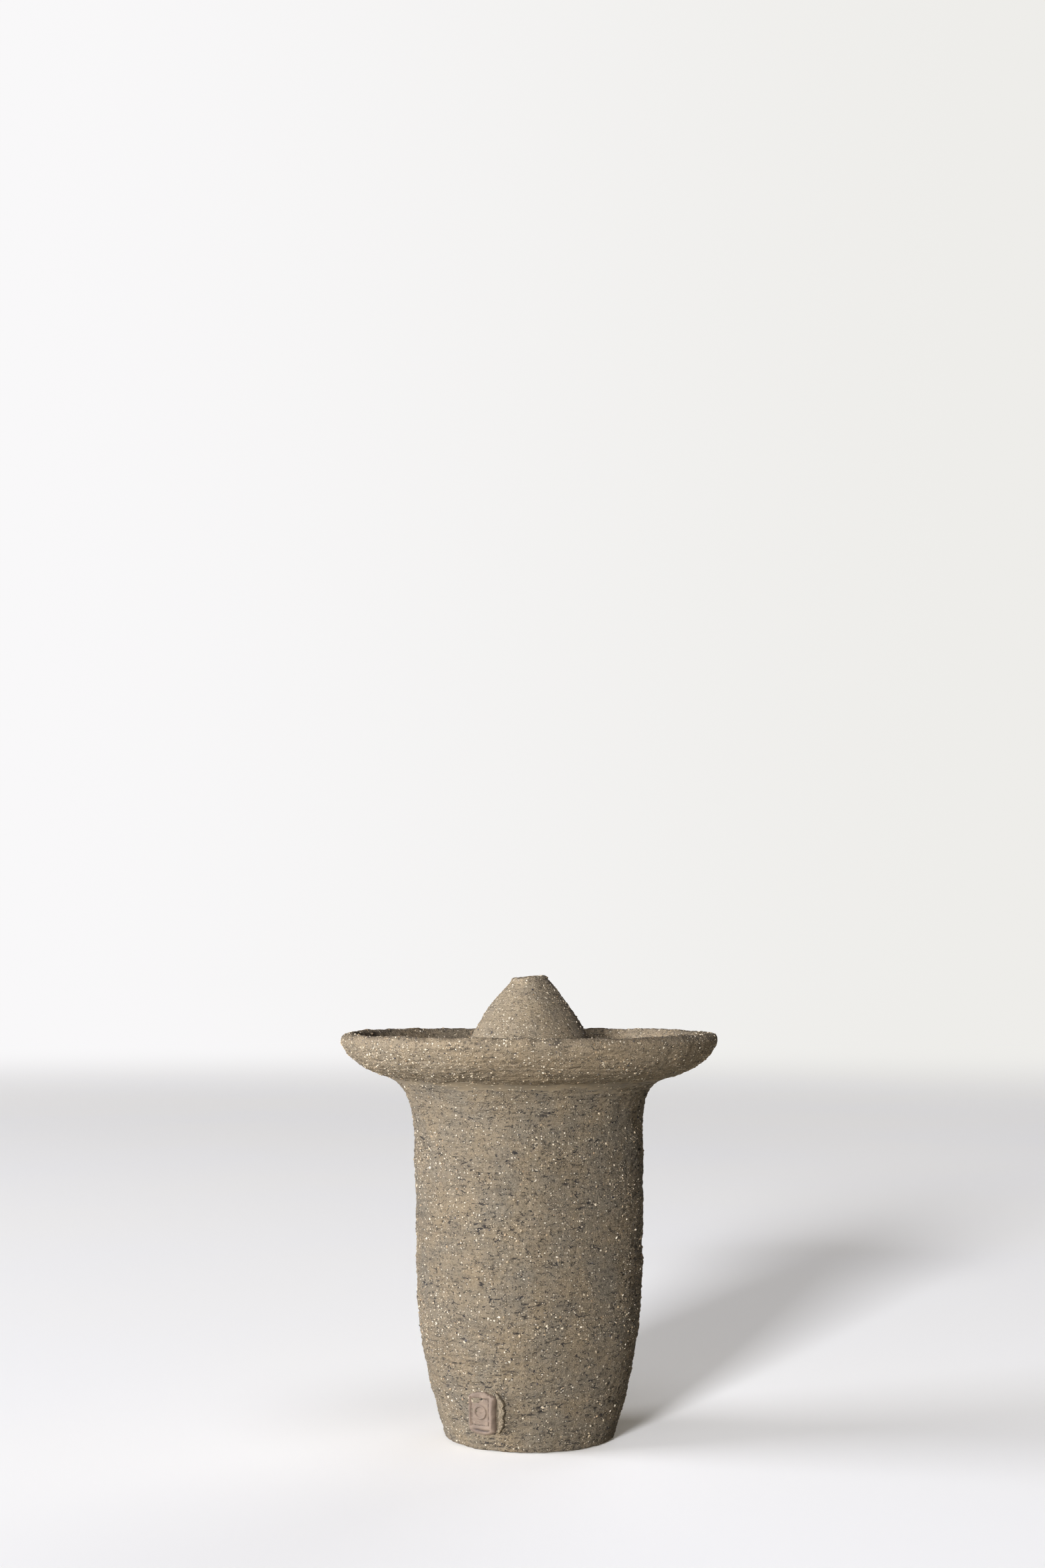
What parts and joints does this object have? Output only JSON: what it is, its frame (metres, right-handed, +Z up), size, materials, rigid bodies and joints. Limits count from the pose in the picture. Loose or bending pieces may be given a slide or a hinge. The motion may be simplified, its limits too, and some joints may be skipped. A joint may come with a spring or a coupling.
{
  "type": "bud vase",
  "caption": "Stoneware bud vase: a round vessel with a flared collar under a wide dish, and a hollow cone in the dish whose narrow mouth holds a stem.",
  "frame": {"origin": "centre of the foot, on the surface that the vase stands on", "axes": "+Z up along the axis that the vase was thrown about; the front, with the maker's seal to its left, faces -Y"},
  "size_m": [0.1152, 0.1152, 0.1383],
  "materials": {
    "grogged_clay": "unglazed, coarse light and dark grog",
    "smooth_clay": "unglazed, smoothed with a finger",
    "seal_clay": "unglazed, fine, pressed",
    "slip": "unglazed, matt",
    "liner_glaze": "gloss"
  },
  "bodies": {
    "root": {"vessel": "grogged_clay", "dish": "grogged_clay", "cone": "grogged_clay", "collar_slip": "slip", "cone_slip": "slip", "collar_coil": "smooth_clay", "cone_coil": "smooth_clay", "liner_glaze": "liner_glaze", "seal_pad": "seal_clay"}
  },
  "joints": []
}
